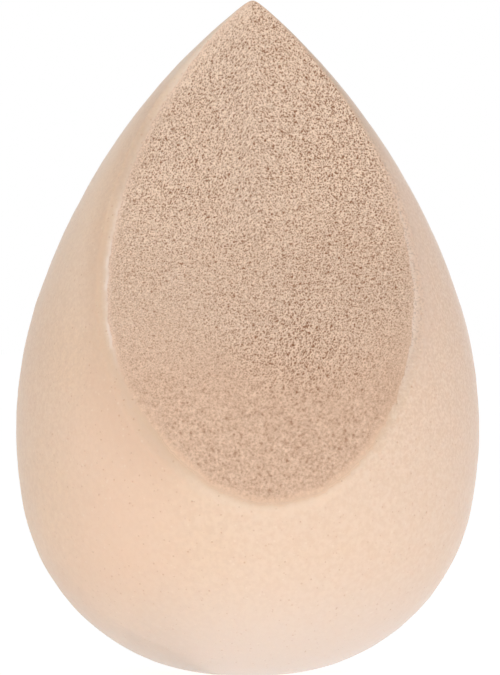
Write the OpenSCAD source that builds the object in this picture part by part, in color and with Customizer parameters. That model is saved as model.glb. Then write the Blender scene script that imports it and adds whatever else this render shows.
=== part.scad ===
// Teardrop makeup sponge with one slanted flat cut, in millimetres.
// It stands on its small flat foot, the tip points up (+Z) and the cut face looks to the front (-Y).
// The body is a solid of revolution about the Z axis. Four arcs run from the foot to the tip, each
// tangent to the next. A thin moulded skin wraps the foam core everywhere but on the cut face.

/* [Body] */
// Height from the foot to the sharp tip
sponge_h = 60; // [52:1:72]
// Diameter at the widest ring of the belly
belly_d = 41; // [38:0.5:44]
// Height of the widest ring above the foot
belly_h = 21.8; // [20:0.2:23]
// Radius of the arc that runs up and down over the widest ring
belly_r = 36.5; // [32:0.5:42]
// How many degrees the belly arc climbs above the widest ring
belly_rise = 18.5; // [14:0.5:24]
// How many degrees the belly arc drops below the widest ring
belly_drop = 11; // [6:0.5:14]
// How many degrees the bilge arc drops, where the broad rounded bottom takes over
bilge_drop = 80; // [70:0.5:84]
// How much of the rounded bottom the flat foot takes off
foot_depth = 0.15; // [0.1:0.05:0.5]

/* [Cut] */
// Lean of the cut face from the vertical
cut_lean = 24.6; // [18:0.2:30]
// How far behind the axis the cut meets the sharp tip
cut_back = 0.4; // [0.1:0.1:1]

/* [Skin] */
// Thickness of the moulded skin
skin_t = 0.4; // [0.2:0.05:1]

/* [Hidden] */

// Colours of the bare foam and of the skin
foam_colour = [0.85, 0.73, 0.63];
skin_colour = [0.93, 0.83, 0.74];

// Overrun of the cut past the body
overrun = 1;
// Steps along each arc of the outline, and around the turned body
arc_steps = 12;
turn_steps = 96;

// A direction in the outline's plane, in degrees from straight out
function dir(a) = [cos(a), sin(a)];

belly_c = [belly_d / 2 - belly_r, belly_h];
rise_end = belly_c + belly_r * dir(belly_rise);
drop_end = belly_c + belly_r * dir(-belly_drop);

// The flank arc leaves the belly arc at its upper end and passes through the tip
to_tip = [0, sponge_h] - rise_end;
flank_r = -(to_tip * to_tip) / (2 * to_tip * dir(belly_rise));
flank_c = rise_end - flank_r * dir(belly_rise);

// The bilge arc leaves the belly arc at its lower end, and the rounded bottom, centred on the
// axis, leaves the bilge arc. Together they reach the bottom that the foot is cut from.
bottom_slope_share = tan((90 - bilge_drop) / 2);
bilge_r = (drop_end[1] + foot_depth - drop_end[0] * bottom_slope_share)
    / (1 - sin(belly_drop) - cos(belly_drop) * bottom_slope_share);
bilge_c = drop_end - bilge_r * dir(-belly_drop);
base_r = bilge_r + bilge_c[0] / cos(bilge_drop);
base_c = [0, base_r - foot_depth];

// Points along an arc, from one angle to another
function arc(centre, r, from, to) =
    [for (i = [0:arc_steps]) centre + r * dir(from + (to - from) * i / arc_steps)];

// Half outline of the body above its foot, drawn in by the inset from the outside
module half_outline(inset) {
    tip_angle = acos(-flank_c[0] / (flank_r - inset));
    intersection() {
        polygon(concat(
            arc(base_c, base_r - inset, -90, -bilge_drop),
            arc(bilge_c, bilge_r - inset, -bilge_drop, -belly_drop),
            arc(belly_c, belly_r - inset, -belly_drop, belly_rise),
            arc(flank_c, flank_r - inset, belly_rise, tip_angle)
        ));
        translate([0, inset]) square([belly_d, sponge_h]);
    }
}

// Everything in front of the cut face
module cut_away() {
    translate([0, cut_back, sponge_h])
        rotate([-cut_lean, 0, 0])
            translate([-belly_d, -belly_d - overrun, -2 * sponge_h])
                cube([2 * belly_d, belly_d + overrun, 2 * sponge_h + belly_d]);
}

// Open-cell foam, bare on the cut face and backed by the skin elsewhere
module foam_core() {
    color(foam_colour)
        difference() {
            rotate_extrude($fn = turn_steps) half_outline(skin_t);
            cut_away();
        }
}

// Closed skin that forms against the mould, one even thickness, opened by the cut
module moulded_skin() {
    color(skin_colour)
        difference() {
            rotate_extrude($fn = turn_steps)
                difference() {
                    half_outline(0);
                    half_outline(skin_t);
                }
            cut_away();
        }
}

foam_core();
moulded_skin();
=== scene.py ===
import math

import bmesh
import bpy
import numpy as np
from mathutils import Matrix, Vector, noise


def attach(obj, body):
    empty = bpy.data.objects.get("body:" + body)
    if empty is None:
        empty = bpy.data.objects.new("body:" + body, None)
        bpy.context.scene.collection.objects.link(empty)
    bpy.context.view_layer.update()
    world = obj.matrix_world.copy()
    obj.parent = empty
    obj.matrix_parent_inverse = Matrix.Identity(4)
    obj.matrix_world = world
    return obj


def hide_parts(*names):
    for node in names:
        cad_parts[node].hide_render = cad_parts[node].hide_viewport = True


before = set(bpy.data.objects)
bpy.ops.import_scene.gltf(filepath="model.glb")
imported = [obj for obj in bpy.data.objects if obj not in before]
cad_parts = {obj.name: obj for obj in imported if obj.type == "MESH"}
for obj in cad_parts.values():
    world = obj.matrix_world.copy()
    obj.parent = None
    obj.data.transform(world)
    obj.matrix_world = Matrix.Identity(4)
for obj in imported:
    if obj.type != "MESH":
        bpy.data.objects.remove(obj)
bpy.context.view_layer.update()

# Moulded skin
# The real piece is the thin closed layer that polyurethane foam forms against its mould: matt, very
# fine and velvety, with faint pinholes. It is one with the foam under it, and the blade's slanted
# cut opens it, so its edge shows as a thin lip that rolls over softly into the cut, pale with a
# painted highlight.

mm = 0.001
height = 60 * mm
belly_radius, belly_height, belly_arc = 20.5 * mm, 21.8 * mm, 36.5 * mm
rise, drop, bilge = math.radians(18.5), math.radians(11), math.radians(80)
foot_depth = 0.15 * mm
lean, cut_back = math.radians(24.6), 0.4 * mm
skin_wall = 0.4 * mm

# The outline is four arcs, each tangent to the next, worked out from the sizes above
belly_out = belly_radius - belly_arc
shoulder_way = np.array([math.cos(rise), math.sin(rise)])
haunch_way = np.array([math.cos(drop), -math.sin(drop)])
shoulder = np.array([belly_out, belly_height]) + belly_arc * shoulder_way
haunch = np.array([belly_out, belly_height]) + belly_arc * haunch_way
to_tip = np.array([0, height]) - shoulder
flank_arc = -(to_tip @ to_tip) / (2 * to_tip @ shoulder_way)
flank_out, flank_up = shoulder - flank_arc * shoulder_way
slope = math.tan((math.pi / 2 - bilge) / 2)
bilge_arc = haunch[1] + foot_depth - haunch[0] * slope
bilge_arc = bilge_arc / (1 - math.sin(drop) - math.cos(drop) * slope)
bilge_out, bilge_up = haunch - bilge_arc * haunch_way
base_arc = bilge_arc + bilge_out / math.cos(bilge)
# Each arc's centre out and up, its radius, and the angle where it begins, from the foot to the tip
arcs = (
    (0.0, base_arc - foot_depth, base_arc, None),
    (bilge_out, bilge_up, bilge_arc, -bilge),
    (belly_out, belly_height, belly_arc, -drop),
    (flank_out, flank_up, flank_arc, rise),
)
past_the_foot = -1 * mm


def body_radius(z, inset):
    """How far out the body reaches at these heights, drawn in by inset. Below zero past its ends."""
    found = np.full(np.shape(z), past_the_foot)
    for out, up, radius, begins in arcs:
        reach = radius - inset
        here = z >= inset if begins is None else z >= up + reach * math.sin(begins)
        found = np.where(here, out + np.sqrt(np.maximum(reach**2 - (z - up) ** 2, 0)), found)
    return found


halvings = 34
ray_limit, cut_limit = 90 * mm, 40 * mm


def leave_body(walk, count, limit, inset):
    """Where walks from inside the body leave it, by halving. walk turns distances into points."""
    near, far = np.zeros(count), np.full(count, limit)
    for _ in range(halvings):
        middle = (near + far) / 2
        p = walk(middle)
        inside = np.hypot(p[:, 0], p[:, 1]) < body_radius(p[:, 2], inset)
        near, far = np.where(inside, middle, near), np.where(inside, far, middle)
    return walk(near)


def shoot(origin, way, inset):
    """Where rays from inside the body leave it, one for each row of way."""
    return leave_body(lambda far: origin + way * far[:, None], len(way), ray_limit, inset)


def climb(value, low, high):
    """How far a value has come from low to high, 0 to 1. Low may be the greater of the two."""
    return np.clip((value - low) / (high - low), 0, 1)


def hump(value, middle, spread):
    """1 at the middle, and falling away smoothly on both sides."""
    return np.exp(-(((value - middle) / spread) ** 2))


# How the soft cut differs from a flat one: how much, at what height, and over how much of it
swell, swell_up, swell_spread = 0.40 * mm, 30 * mm, 11 * mm
curl, curl_up, curl_spread = 0.45 * mm, 14.2 * mm, 3 * mm
draw, draw_from, draw_to = 0.10 * mm, 56 * mm, 48 * mm

# The cut is laid out by angles round the place at this height on it
cut_middle = 36.5 * mm
cut_normal = np.array([0, -math.cos(lean), math.sin(lean)])
up_the_cut = np.array([0, math.sin(lean), math.cos(lean)])
across = np.array([1.0, 0, 0])


def cut_depth(z):
    """Y of the cut at a height. It swells in the middle and curls in at its lower end."""
    proud = swell * hump(z, swell_up, swell_spread) - curl * hump(z, curl_up, curl_spread)
    proud = proud - draw * climb(z, draw_from, draw_to)
    return cut_back - math.tan(lean) * (height - z) - proud


def on_cut(x, z):
    return np.stack([x, cut_depth(z), z], -1)


def cut_edge(turn, inset):
    """Where the cut meets the body drawn in by inset, for angles round the cut's middle."""
    def walk(far):
        return on_cut(far * np.cos(turn), cut_middle + far * np.sin(turn))

    return leave_body(walk, len(turn), cut_limit, inset)


# The skin is laid out by the turn round the cut and the share of the way from the lip to the back
turn_steps, share_steps = 1440, 240
heart = np.array([0, float(cut_depth(np.array(cut_middle))), cut_middle])
turns = np.linspace(-math.pi, math.pi, turn_steps + 1)
shares = np.linspace(0, 1, share_steps + 1)
# How far outside the cut the skin begins to roll over, least near the tip
roll_width, roll_least, roll_end, roll_fade = 0.45 * mm, 0.2, 60.5 * mm, 4 * mm
rolls = roll_width * np.clip((roll_end - cut_edge(turns, 0)[:, 2]) / roll_fade, roll_least, 1)


def ways(turn, dip):
    """Directions from the heart: a turn in the cut's plane, and a dip from it into the body."""
    flat = np.cos(turn)[:, None] * across + np.sin(turn)[:, None] * up_the_cut
    return np.cos(dip)[:, None] * flat - np.sin(dip)[:, None] * cut_normal


def fan_of_rays():
    """For each turn, its rays' turn, their dips at even shares, and the way from lip to back."""
    tries, crowding = 321, 1.5
    rim = cut_edge(turns, 0) - heart
    turn = np.unwrap(np.arctan2(rim @ up_the_cut, rim @ across))
    first = np.arctan2(-rim @ cut_normal, np.hypot(rim @ up_the_cut, rim @ across))
    steps = np.linspace(0, 1, tries) ** crowding
    dips = first[:, None] + (math.pi / 2 - first[:, None]) * steps
    hit = shoot(heart, ways(np.repeat(turn, tries), dips.ravel()), 0)
    hit = hit.reshape(len(turns), tries, 3)
    run = np.linalg.norm(np.diff(hit, axis=1), axis=2).cumsum(1)
    run = np.concatenate([np.zeros((len(turns), 1)), run], 1)
    even = [
        np.interp(start + shares * (r[-1] - start), r, d) for start, r, d in zip(rolls, run, dips)
    ]
    return turn, np.array(even), run[:, -1] - rolls


ray_turns, ray_dips, lengths = fan_of_rays()


def on_body(turn, share, inset):
    """Points on the body drawn in by inset, at a share of the way from the lip to the back."""
    a = np.clip((turn + math.pi) / (2 * math.pi) * turn_steps, 0, turn_steps)
    b = np.clip(share * share_steps, 0, share_steps)
    i, j = np.minimum(a.astype(int), turn_steps - 1), np.minimum(b.astype(int), share_steps - 1)
    p, q = a - i, b - j
    this_dip = ray_dips[i, j] * (1 - q) + ray_dips[i, j + 1] * q
    next_dip = ray_dips[i + 1, j] * (1 - q) + ray_dips[i + 1, j + 1] * q
    ray_turn = ray_turns[i] * (1 - p) + ray_turns[i + 1] * p
    return shoot(heart, ways(ray_turn, this_dip * (1 - p) + next_dip * p), inset)


# Degrees round the cut, 0 at its right side and 90 at the tip, and the width of the lip there in
# hundredths of a millimetre
lip_turns = (
    -180, -159, -146, -133, -126, -119, -113, -106, -100, -88, -75, -58, -50, -40, -31, -21, -14,
    9, 17, 24, 32, 39, 53, 72, 90, 98, 106, 112, 118, 132, 148, 156, 164, 180,
)
lip_widths = (
    60, 57, 64, 74, 82, 80, 68, 57, 52, 38, 26, 44, 54, 60, 62, 55, 46,
    43, 39, 27, 18, 14, 14, 14, 9, 20, 30, 42, 49, 57, 56, 62, 65, 60,
)
rng = np.random.default_rng(31)
waviness = [(count, rng.uniform(-1, 1, count)) for count in (150, 480)]
# The lip is less ragged where it is narrower than this
ragged, ragged_least, full_width = 0.10 * mm, 0.2, 0.3 * mm


def lip_wall(turn):
    """How wide the skin shows at the cut: thinnest at the tip, and a little ragged all round."""
    wall = np.interp(np.degrees(turn), lip_turns, lip_widths) * mm / 100
    wavy = sum(
        np.interp(turn / (2 * math.pi), np.arange(n) / n, wave, period=1) for n, wave in waviness
    )
    return wall + ragged * wavy / len(waviness) * np.clip(wall / full_width, ragged_least, 1)


def keep(bm, name, values):
    """Keeps a number on each vertex under a name."""
    layer = bm.verts.layers.float.new(name)
    for vert, value in zip(bm.verts, values):
        vert[layer] = value
    return layer


def round_grid(columns, rows):
    """A grid rounded to a disc, with the turn and the share of the way in of each of its points."""
    bm = bmesh.new()
    bmesh.ops.create_grid(bm, x_segments=columns, y_segments=rows, size=1)
    a, b = np.array([v.co[:2] for v in bm.verts]).T
    u, v = a * np.sqrt(1 - b * b / 2), b * np.sqrt(1 - a * a / 2)
    turn, share = np.arctan2(v, u), 1 - np.minimum(np.hypot(u, v), 1)
    return bm, keep(bm, "turn", turn), turn, share


tip_sway, sway_from = 0.25 * mm, 48 * mm


def place(verts, points):
    """Moves the vertices to the points. The soft tip leans a little to the right."""
    lift = climb(points[:, 2], sway_from, height)
    for vert, p in zip(verts, points + np.outer(tip_sway * lift**2, across)):
        vert.co = p


def open_loop(bm):
    return [e for e in bm.edges if e.is_boundary]


def next_ring(bm, kept, edges, where):
    """Extrudes a loop and puts each new point where its turn says."""
    made = bmesh.ops.extrude_edge_only(bm, edges=edges)["geom"]
    verts = [g for g in made if isinstance(g, bmesh.types.BMVert)]
    place(verts, where(np.array([v[kept] for v in verts])))
    return [g for g in made if isinstance(g, bmesh.types.BMEdge) and g.is_boundary]


def crease(edges):
    for edge in edges:
        edge.smooth = False


def inner_shell(bm, edges, columns, inset):
    """Closes a loop with the body drawn in by inset, as a coarser round grid bridged to it."""
    shell, _, turn, share = round_grid(columns, columns)
    place(shell.verts, on_body(turn, share, inset))
    mesh = bpy.data.meshes.new("shell")
    shell.to_mesh(mesh)
    shell.free()
    old = set(bm.edges)
    bm.from_mesh(mesh)
    bpy.data.meshes.remove(mesh)
    bmesh.ops.bridge_loops(bm, edges=edges + [e for e in open_loop(bm) if e not in old])


def finished(bm, name, material):
    bmesh.ops.recalc_face_normals(bm, faces=bm.faces)
    for face in bm.faces:
        face.smooth = True
    mesh = bpy.data.meshes.new(name)
    bm.to_mesh(mesh)
    bm.free()
    made = bpy.data.objects.new(name, mesh)
    mesh.materials.append(material)
    bpy.context.collection.objects.link(made)
    return made


class Shade:
    """A shader socket that takes part in sums with others and with numbers."""

    def __init__(self, tree, socket=None):
        self.tree, self.socket = tree, socket

    def node(self, kind, out, inputs, **settings):
        """One output of a new node, with its settings and the values or links of its inputs."""
        made = self.tree.nodes.new(kind)
        for name, value in settings.items():
            setattr(made, name, value)
        for key, value in inputs.items():
            if isinstance(value, Shade):
                self.tree.links.new(value.socket, made.inputs[key])
            else:
                made.inputs[key].default_value = value
        return Shade(self.tree, made.outputs[out])

    def sum(self, operation, a, b):
        return self.node("ShaderNodeMath", 0, {0: a, 1: b}, operation=operation)

    def __add__(self, other):
        return self.sum("ADD", self, other)

    __radd__ = __add__

    def __sub__(self, other):
        return self.sum("SUBTRACT", self, other)

    def __rsub__(self, other):
        return self.sum("SUBTRACT", other, self)

    def __mul__(self, other):
        return self.sum("MULTIPLY", self, other)

    __rmul__ = __mul__

    def ramp(self, low, high, start=0.0, end=1.0):
        """Start at low and end at high, smoothly between, and level outside."""
        limits = {"From Min": low, "From Max": high, "To Min": start, "To Max": end}
        return self.node(
            "ShaderNodeMapRange", 0, {"Value": self, **limits}, interpolation_type="SMOOTHSTEP"
        )

    def fade(self, low, high, start=0.0, end=1.0):
        """A ramp over a place or a distance, with its limits in millimetres."""
        return self.ramp(low * mm, high * mm, start, end)

    def mix(self, a, b):
        """Colour a where this is 0 and b where it is 1."""
        return self.node("ShaderNodeMix", 2, {0: self, 6: a, 7: b}, data_type="RGBA")

    def along(self, axis):
        """X, Y or Z, as 0, 1 or 2, of the place that this socket holds."""
        return self.node("ShaderNodeSeparateXYZ", axis, {0: self})

    def noise(self, size, detail=2.0, rough=0.5):
        """Noise with features about this many millimetres across, over the same place."""
        looks = {"Scale": 1 / (size * mm), "Detail": detail, "Roughness": rough}
        return self.node("ShaderNodeTexNoise", "Fac", {"Vector": self, **looks})

    def cells(self, size, out="Distance"):
        """Cells about this many millimetres across: how far off their middles are, or a colour."""
        return self.node("ShaderNodeTexVoronoi", out, {"Vector": self, "Scale": 1 / (size * mm)})

    def dress(self, shader, relief):
        """Gives a shader this colour, and a bump of this relief in metres."""
        bump = self.node("ShaderNodeBump", 0, {"Height": relief, "Distance": 1.0, "Strength": 1.0})
        self.tree.links.new(self.socket, shader.inputs["Base Color"])
        self.tree.links.new(bump.socket, shader.inputs["Normal"])


def colour(r, g, b):
    """An sRGB colour, 0 to 255, as Blender's linear one."""
    return tuple(
        (c / 255 / 12.92 if c < 10.3 else ((c / 255 + 0.055) / 1.055) ** 2.4) for c in (r, g, b)
    ) + (1.0,)


def new_material(name, looks):
    """A material with these looks, its shader, a blank to build nodes from, and the place on it."""
    material = bpy.data.materials.new(name)
    material.use_nodes = True
    tree = material.node_tree
    shader = tree.nodes["Principled BSDF"]
    for socket, value in looks.items():
        shader.inputs[socket].default_value = value
    blank = Shade(tree)
    return material, shader, blank, blank.node("ShaderNodeTexCoord", "Object", {})


skin_material, shader, blank, spot = new_material(
    "moulded_foam_skin",
    {
        "Roughness": 0.85,
        "Specular IOR Level": 0.2,
        "Subsurface Weight": 0.2,
        "Subsurface Radius": (1.0, 0.6, 0.4),
        "Subsurface Scale": 1.2 * mm,
        "Sheen Weight": 0.35,
        "Sheen Roughness": 0.3,
    },
)
wide, deep, high = (spot.along(axis) for axis in range(3))
front = deep.fade(6, -4)
# How far it is to the edge of the bare foam, kept on the mesh
away = blank.node("ShaderNodeAttribute", "Fac", {}, attribute_name="away")

blotch = spot.noise(9, 1.0).ramp(0.35, 0.65)
mottle = spot.noise(0.5, 2.0, 0.6).ramp(0.3, 0.7)
speck = spot.cells(0.9).ramp(0.05, 0.16, 1, 0)
pinhole = spot.cells(0.7).ramp(0.06, 0.18, 1, 0) * spot.cells(0.7, "Color").ramp(0.3, 0.9)
fine_pinhole = spot.cells(0.45).ramp(0.08, 0.2, 1, 0) * spot.cells(0.45, "Color").ramp(0.4, 0.9)
pinhole = pinhole + fine_pinhole
# The underside is paler and cooler, with painted light from the white table. The upper part is
# coarser, most of all in front at the right
table_light = high.fade(12, 0) * wide.fade(-10, 0, 0.82, 1.0)
coarse = spot.noise(0.25, 1.0).ramp(0.3, 0.7) * (wide.fade(4, 12) * front * 0.6 + 0.4)
coarse = coarse * high.fade(12, 28)
# Beside the cut the skin is darkened with painted shade, and again beside its lower end at the left,
# where the belly in front is warmer
lip_shade = away.fade(3.5, 0.3) * high.fade(24, 29)
lip_shade = lip_shade * wide.fade(-4, 4, 0.64, 0.5) * high.fade(37, 44, 1.0, 0.3)
lip_shade_tint = wide.fade(-4, 4).mix(colour(224, 190, 163), colour(222, 193, 174))
# Painted shade beside the lower end of the cut at the left
dip = away.fade(6.5, 0) * high.fade(14, 20) * high.fade(31, 25) * wide.fade(-5, -9)
flush = front * wide.fade(-20, -13) * wide.fade(-12, -4, 1, 0)
flush = flush * high.fade(3, 10) * high.fade(29, 22)
# Towards the tip painted shade darkens the right side and a painted highlight pales the left side,
# but for its lip below the tip, which has painted shade in a narrow valley
shaded = wide.fade(1, 4) * high.fade(43, 50) * away.fade(6, 1.5)
tip_highlight = wide.fade(0, -2) * high.fade(49.5, 54.5) * away.fade(3.5, 1.2)
valley_shade = wide.fade(-3, -6) * high.fade(41, 43) * high.fade(50, 48) * away.fade(1.1, 0.4)
# A painted highlight pales the left flank, away from the lip
flank_highlight = wide.fade(-3, -8) * high.fade(26, 48) * away.fade(1.0, 4.5) * deep.fade(14, -1)
# Round the lower end of the cut the lip turns to the light with a painted highlight, and its very
# edge is darker in noisy patches
lower_lip_highlight = away.fade(1.2, 0.3) * high.fade(19, 15.5)
darker_edge = away.fade(0, 0.4, 1, 0) * high.fade(27, 20)
darker_edge = darker_edge * spot.noise(0.4, 1.0).ramp(0.25, 0.6, 0.5, 1.0)
# Higher up its crest has a painted highlight, a thin pale broken line, and at the right the foam's
# grain runs into it
crest = away.fade(0.12, 0.45, 0.55, 0) + away.fade(0.10, 0.22, 0.45, 0)
crest = crest * high.fade(26, 31) * high.fade(38.5, 43.5, 1.0, 0.2)
crest = crest * wide.fade(-4, 4, 1.0, 0.55) * spot.noise(1.2, 1.0).ramp(0.3, 0.65, 0.4, 1.0)
fray = spot.noise(0.2, 1.0).ramp(0.48, 0.66) * wide.fade(3, 7)
fray = fray * high.fade(26, 31) * away.fade(1.6, 0.1)

tint = wide.fade(-18, 18).mix(colour(240, 207, 180), colour(239, 209, 187))
for amount, stain in (
    (blotch * 0.5, colour(238, 209, 187)),
    (mottle * 0.6, colour(230, 196, 171)),
    # Painted light from the white table on the underside
    (table_light * 0.9, colour(234, 212, 198)),
    (coarse * 0.55, colour(219, 184, 158)),
    (lip_shade, lip_shade_tint),
    (flush * 0.6, colour(243, 204, 178)),
    # Painted shade beside the lower end of the cut at the left
    (dip * 0.6, colour(224, 188, 162)),
    (shaded * 0.7, colour(217, 187, 162)),
    (tip_highlight * 0.8, colour(243, 217, 195)),
    (valley_shade * 0.45, colour(206, 179, 158)),
    (flank_highlight * 0.5, colour(252, 224, 200)),
    (lower_lip_highlight * 0.5, colour(250, 216, 191)),
    (darker_edge * 0.6, colour(230, 191, 157)),
    # The crest's painted highlight
    (crest, colour(246, 219, 201)),
    (fray * 0.6, colour(194, 163, 145)),
    (speck * 0.3, colour(250, 226, 206)),
    (pinhole * 0.4, colour(200, 146, 112)),
):
    tint = amount.mix(tint, stain)
nap, pinhole_depth = 0.01 * mm, 0.03 * mm
tint.dress(shader, spot.noise(0.12, 2.0, 0.6) * nap - pinhole * pinhole_depth)


def roll(turn):
    return np.interp(turn, turns, rolls)


lip_steps = (0.15, 0.3, 0.45, 0.6, 0.72, 0.84, 0.93, 1.0)
crest_lift, tuck_in, tuck_down = 0.02 * mm, 0.02 * mm, 0.15 * mm


def over_the_lip(turn, way_over):
    """Points on the lip's round, a share of the way over it from the body to its crest."""
    body, corner = on_body(turn, np.zeros(len(turn)), 0), cut_edge(turn, 0)
    crown = cut_edge(turn, lip_wall(turn)) + cut_normal * crest_lift
    return body * (1 - way_over) ** 2 + corner * 2 * way_over * (1 - way_over) + crown * way_over**2


def waves(points, per_metre):
    """Soft ups and downs between about -1 and 1, this many to a metre."""
    return np.array([noise.fractal(Vector(p) * per_metre, 0.8, 2.0, 2) for p in points])


skin_columns, skin_rows, skin_inner_columns = 275, 300, 60
# The skin is a little uneven, in and out from a point inside it, but not at its lip and its foot
ripple, ripples_per_metre, ripple_heart = 0.03 * mm, 420, 25 * mm
ripple_share, ripple_up = 0.02, 1 * mm

bm, kept, turn, share = round_grid(skin_columns, skin_rows)
from_foam = roll(turn) + lip_wall(turn) + share * np.interp(turn, turns, lengths)
away_kept = keep(bm, "away", from_foam)
points = on_body(turn, share, 0)
out = points - np.array([0, 0, ripple_heart])
out /= np.linalg.norm(out, axis=1)[:, None]
uneven = ripple * waves(points, ripples_per_metre)
uneven = uneven * climb(share, 0, ripple_share) * climb(points[:, 2], 0, ripple_up)
place(bm.verts, points + out * uneven[:, None])
loop = open_loop(bm)
for way_over in lip_steps:
    loop = next_ring(bm, kept, loop, lambda t: over_the_lip(t, way_over))
    for vert in {v for e in loop for v in e.verts}:
        vert[away_kept] = (1 - way_over) * (roll(vert[kept]) + lip_wall(vert[kept]))
crease(loop)
tuck = cut_normal * tuck_down
loop = next_ring(bm, kept, loop, lambda t: cut_edge(t, lip_wall(t) + tuck_in) - tuck)
inner_shell(bm, loop, skin_inner_columns, skin_wall)
skin = finished(bm, "skin", skin_material)
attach(skin, "root")
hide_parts("moulded_skin")

# Foam core
# The real piece is the soft open-cell foam itself, bare where the blade has cut it. The cut goes
# through thousands of cells a tenth to a fifth of a millimetre wide: pits with pale walls between.
# It fills the skin, so only its cut face shows, dense enough here for each cell to be a real pit.

# The fine raster of X and Z over the cut that the cells are drawn on
face_step = 0.03 * mm
face_left, face_low = -17 * mm, 14 * mm
face_columns, face_rows = 1134, 1560
# A few wide cells and many small ones: their spacing, least and greatest radius, how far their
# middles are past the cut at most, and the share of the places that hold one
cell_sizes = (
    (0.50 * mm, 0.07 * mm, 0.11 * mm, 0.03 * mm, 0.15),
    (0.18 * mm, 0.05 * mm, 0.08 * mm, 0.03 * mm, 0.95),
)
row_pitch, astray = 0.866, 0.35
# The lower end is worn softer
worn_from, worn_over, worn_most = 26.5 * mm, 5 * mm, 0.8


def blurred(raster, stride):
    for axis in (0, 1):
        before, after = np.roll(raster, stride, axis), np.roll(raster, -stride, axis)
        raster = (before + 2 * raster + after) / 4
    return raster


def open_cells():
    """How deep the open cells go all over the cut: seeded round cells that it passes through."""
    rng = np.random.default_rng(5472)
    depth = np.zeros((face_rows, face_columns), np.float32)
    squeeze = math.cos(lean)
    for spacing, least, greatest, past, share_kept in cell_sizes:
        rows = int(face_rows * face_step / (spacing * row_pitch * squeeze)) + 2
        columns = int(face_columns * face_step / spacing) + 2
        i, j = np.meshgrid(np.arange(columns), np.arange(rows))
        x = (i + 0.5 * (j % 2)).ravel() * spacing
        x = x + rng.uniform(-astray, astray, i.size) * spacing
        z = j.ravel() * spacing * row_pitch * squeeze
        z = z + rng.uniform(-astray, astray, i.size) * spacing * squeeze
        radius = rng.uniform(least, greatest, i.size)
        centre = rng.uniform(-0.5, 1.0, i.size) * past
        there = rng.random(i.size) < share_kept
        for cx, cz, r, c in zip(x[there], z[there], radius[there], centre[there]):
            a, b = int((cx - r) / face_step), int((cz - r) / face_step)
            w = int(2 * r / face_step) + 2
            a0, b0 = max(a, 0), max(b, 0)
            a1, b1 = min(a + w, face_columns), min(b + w, face_rows)
            if a0 >= a1 or b0 >= b1:
                continue
            dx = np.arange(a0, a1) * face_step - cx
            dz = (np.arange(b0, b1) * face_step - cz) / squeeze
            room = r * r - dx[None, :] ** 2 - dz[:, None] ** 2
            hole = np.where(room > max(c, 0) ** 2, c + np.sqrt(np.maximum(room, 0)), 0)
            window = depth[b0:b1, a0:a1]
            np.maximum(window, hole, out=window)
    depth = blurred(depth, 1)
    soft = blurred(blurred(blurred(depth, 1), 2), 2)
    soft = depth.mean() + (soft - depth.mean()) * depth.std() / soft.std()
    up = face_low + np.arange(face_rows) * face_step
    wear = np.clip((worn_from - up) / worn_over, 0, worn_most)[:, None]
    return depth * (1 - wear) + soft * wear


def sample(raster, x, z):
    """What the raster holds at places on the cut, mixed from the four nearest."""
    # Kept just short of the last column and row, so that there is always a next one
    a = np.clip((x - face_left) / face_step, 0, face_columns - 1.001)
    b = np.clip((z - face_low) / face_step, 0, face_rows - 1.001)
    i, j = a.astype(int), b.astype(int)
    p, q = a - i, b - j
    lower = raster[j, i] * (1 - p) + raster[j, i + 1] * p
    upper = raster[j + 1, i] * (1 - p) + raster[j + 1, i + 1] * p
    return lower * (1 - q) + upper * q


core_material, shader, blank, spot = new_material(
    "open_cell_foam",
    {
        "Roughness": 0.9,
        "Specular IOR Level": 0.15,
        "Subsurface Weight": 0.1,
        "Subsurface Radius": (1.0, 0.6, 0.4),
        "Subsurface Scale": 0.4 * mm,
    },
)
high = spot.along(2)
# How dark the foam is for its pits, mostly painted shade in them, and how near it is to the lip,
# both kept on the mesh
pit = blank.node("ShaderNodeAttribute", "Fac", {}, attribute_name="pit")
rim = blank.node("ShaderNodeAttribute", "Fac", {}, attribute_name="rim")
blotch = spot.noise(6, 2.0).ramp(0.35, 0.65)
flecks = spot.noise(0.12, 0.0) - 0.5
mottle = spot.noise(0.6, 2.0) - 0.5
low = high.fade(34, 24)
tint = blotch.mix(colour(247, 220, 197), colour(247, 219, 195))
tint = low.mix(tint, colour(246, 213, 187))
# Painted shade in the pits, with random flecks and mottle, darkens the foam towards brown
tint = (pit + flecks * (0.7 - low * 0.35) + mottle * low * 0.4).mix(tint, colour(140, 94, 62))
# Beside the lip the foam takes a pale colour, at the sides the lip's painted highlight
rim_tint = high.fade(24, 32).mix(colour(246, 209, 180), colour(243, 211, 190))
tint = (rim * 0.9).mix(tint, rim_tint)
nap = 0.012 * mm
tint.dress(shader, spot.noise(0.06, 2.0, 0.6) * nap)

face_grid_columns, face_grid_rows, core_inner_columns = 520, 760, 100
# The foam goes a little way under the lip, further at the lower end, and clears the skin inside it
under_lip, under_low_lip = 0.02 * mm, 0.08 * mm
tuck_in, tuck_down, core_gap = 0.04 * mm, 0.25 * mm, 0.03 * mm
# Where the lower end of the cut begins, and from where down it is wholly so
low_from, low_to = 26 * mm, 20 * mm

bm, kept, turn, share = round_grid(face_grid_columns, face_grid_rows)
edge_lowness = climb(cut_edge(turns, 0)[:, 2], low_from, low_to)
border = cut_edge(turns, lip_wall(turns) - under_lip - under_low_lip * edge_lowness)
reach = np.interp(turn, turns, np.hypot(border[:, 0], border[:, 2] - cut_middle))
x = (1 - share) * reach * np.cos(turn)
z = cut_middle + (1 - share) * reach * np.sin(turn)
inward = share * reach
left, lowness = x < 0, climb(z, low_from, low_to)
depth = sample(open_cells(), x, z)


def smudge(at, spread):
    """1 at a place on the cut, and falling away smoothly all round it."""
    return hump(x, at[0], spread[0]) * hump(z, at[1], spread[1])


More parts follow.
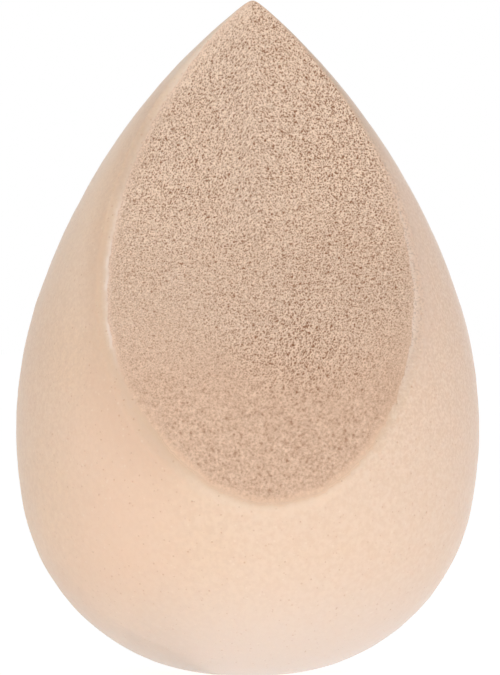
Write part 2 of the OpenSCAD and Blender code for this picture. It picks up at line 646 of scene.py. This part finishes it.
# The pits are stronger in clumps, in one patch, towards the tip and to the right, and weaker
# beside the lip, but for the tip's right side
plain_strength, least_strength, most_strength = 0.54, 0.33, 1.15
clump_strength, patch_strength, tip_strength, right_strength = 0.10, 0.80, 0.46, 0.084
lip_weakness, clumps_per_metre = 0.5, 160
patch = smudge((2.8 * mm, 28.8 * mm), (6 * mm, 5 * mm))
clumps = waves(np.stack([x, 0 * x, z], -1), clumps_per_metre)
strength = plain_strength + clump_strength * clumps + patch_strength * patch
strength = strength + tip_strength * np.clip((z - 35 * mm) / (9 * mm), -1, 1)
strength = strength + right_strength * np.clip(x / (12 * mm), -1, 1)
strength = np.clip(strength, least_strength, most_strength)
weaker = lip_weakness * np.where(left, 1, climb(z, 48 * mm, 42 * mm))
strength = strength * (1 - weaker * hump(inward, 0, 1.2 * mm))

# Right beside the lip they are shallow, and the face dips a little there, or rises at the lower end
edge = climb(inward, 0, 0.4 * mm)
edge_share = 0.4 - 0.3 * lowness
edge_dip, low_edge_rise = 0.02 * mm, 0.05 * mm
sunk = depth * strength * (edge_share + (1 - edge_share) * edge)
sunk = sunk + (edge_dip - low_edge_rise * lowness) * (1 - edge) ** 2
place(bm.verts, on_cut(x, z) - cut_normal * sunk[:, None])

# A pit is painted dark for its depth, as the shade in it. The foam is also darker in the patch, to
# the right, over a belt and in a spot, and paler beside the lip at the tip's left
plain_dark, pit_shade, pit_depth = 0.375, 0.62, 0.045 * mm
patch_dark, right_dark, belt_dark, spot_dark, lip_paleness = 0.06, 0.0022 / mm, 0.035, 0.035, 0.12
dark = plain_dark + pit_shade * np.tanh(strength * (depth - depth.mean()) / pit_depth)
dark = dark + patch_dark * patch + right_dark * x + belt_dark * hump(z, 34.5 * mm, 5 * mm)
dark = dark + spot_dark * smudge((7.5 * mm, 37 * mm), (4 * mm, 4 * mm))
paler = hump(inward, 0.6 * mm, 1.2 * mm) * climb(z, 50 * mm, 53 * mm) * left
dark = dark - lip_paleness * paler
keep(bm, "pit", dark)
# The foam takes the lip's pale colour on a narrow band, broadest at the lower end; at the sides
# it carries the lip's painted highlight
pale_left, pale_right = 0.5, 0.25 * climb(z, 48 * mm, 44 * mm)
side_highlight = np.where(left, pale_left, pale_right) * hump(inward, 0, 0.35 * mm)
keep(bm, "rim", np.maximum(climb(inward, 0.9 * mm, 0) * lowness, side_highlight))

loop = open_loop(bm)
crease(loop)
tuck = cut_normal * tuck_down
loop = next_ring(bm, kept, loop, lambda t: cut_edge(t, lip_wall(t) + tuck_in) - tuck)
inner_shell(bm, loop, core_inner_columns, skin_wall + core_gap)
core = finished(bm, "foam", core_material)
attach(core, "root")
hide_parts("foam_core")

# Floor and backdrop
# A plain white table top in a white studio. The camera sees the table's own shading with some white
# light mixed in, which brings it up to white and keeps the sponge's faint shadow. Every other ray
# sees the table glow evenly, as in a room that is white all round.

table_half = 40
camera_share, camera_glow = 0.25, 2.52
other_share, other_glow = 0.88, 1.0
studio_fill, studio_white = 0.55, 1.0


def white_light(blank, kind, strength):
    return blank.node(kind, 0, {"Color": (1, 1, 1, 1), "Strength": strength})


def blend(amount, a, b):
    """Shader a where the amount is 0 and b where it is 1."""
    return a.node("ShaderNodeMixShader", 0, {0: amount, 1: a, 2: b})


bm = bmesh.new()
bmesh.ops.create_grid(bm, x_segments=1, y_segments=1, size=table_half)
mesh = bpy.data.meshes.new("floor")
bm.to_mesh(mesh)
bm.free()
floor = bpy.data.objects.new("floor", mesh)
bpy.context.collection.objects.link(floor)
floor_material, shader, blank, spot = new_material(
    "white_table",
    {"Base Color": (0.86, 0.86, 0.86, 1), "Roughness": 0.9, "Specular IOR Level": 0.1},
)
table = Shade(blank.tree, shader.outputs[0])
seen = blend(camera_share, table, white_light(blank, "ShaderNodeEmission", camera_glow))
lit = blend(other_share, table, white_light(blank, "ShaderNodeEmission", other_glow))
surface = blend(blank.node("ShaderNodeLightPath", "Is Camera Ray", {}), lit, seen)
blank.tree.links.new(surface.socket, blank.tree.nodes["Material Output"].inputs["Surface"])
mesh.materials.append(floor_material)

world = bpy.data.worlds.new("studio")
bpy.context.scene.world = world
world.use_nodes = True
blank = Shade(world.node_tree)
direct, glossy, through = (
    blank.node("ShaderNodeLightPath", f"Is {ray} Ray", {})
    for ray in ("Camera", "Glossy", "Transmission")
)
fill = white_light(blank, "ShaderNodeBackground", studio_fill)
bright = white_light(blank, "ShaderNodeBackground", studio_white)
sky = blend((direct + glossy + through).ramp(0, 1), fill, bright)
world.node_tree.links.new(sky.socket, world.node_tree.nodes["World Output"].inputs["Surface"])

# Light
# Three soft boxes over the even light of a white studio: the key low in front, a weaker cool one
# at the right and a little behind, and a faint one high at the left.


def softbox(name, at, towards, size, power, tone=(1, 1, 1)):
    """A square lamp, with its places and its size in metres and its power in watts."""
    lamp = bpy.data.lights.new(name, "AREA")
    lamp.shape, lamp.size, lamp.energy, lamp.color = "SQUARE", size, power, tone
    box = bpy.data.objects.new(name, lamp)
    box.location = at
    box.rotation_mode = "QUATERNION"
    box.rotation_quaternion = (Vector(towards) - Vector(at)).to_track_quat("-Z", "Y")
    bpy.context.collection.objects.link(box)


softbox("key", (0.01, -0.80, 0.12), (0, 0, 0.02), 0.25, 2.1)
softbox("side", (0.72, 0.22, 0.06), (0, 0, 0.02), 0.30, 0.64, (0.88, 1.0, 1.28))
softbox("far", (-0.55, 0.20, 0.55), (0, 0, 0.05), 0.30, 0.24)

# Camera
# Level with the middle of the sponge, a metre away and a little to the left of square to the cut,
# through a long lens that is rolled by a third of a degree.

azimuth, roll_over = math.radians(-4.8), math.radians(0.33)
distance, frame_height = 1.0, 59.8 * mm
aim_up, aim_right = 29.86 * mm, 0.16 * mm
back = Vector((math.sin(azimuth), -math.cos(azimuth), 0))
right = Vector((math.cos(azimuth), math.sin(azimuth), 0))
lens = bpy.data.cameras.new("camera")
lens.sensor_width = 36
lens.lens = lens.sensor_width * distance / frame_height
lens.clip_start, lens.clip_end = 0.1, 20
camera = bpy.data.objects.new("camera", lens)
camera.rotation_mode = "QUATERNION"
camera.location = Vector((0, 0, aim_up)) + right * aim_right + back * distance
level = (-back).to_track_quat("-Z", "Y").to_matrix().to_4x4()
camera.rotation_quaternion = (level @ Matrix.Rotation(roll_over, 4, "Z")).to_quaternion()
bpy.context.collection.objects.link(camera)
bpy.context.scene.camera = camera
bpy.context.scene.view_settings.view_transform = "Standard"
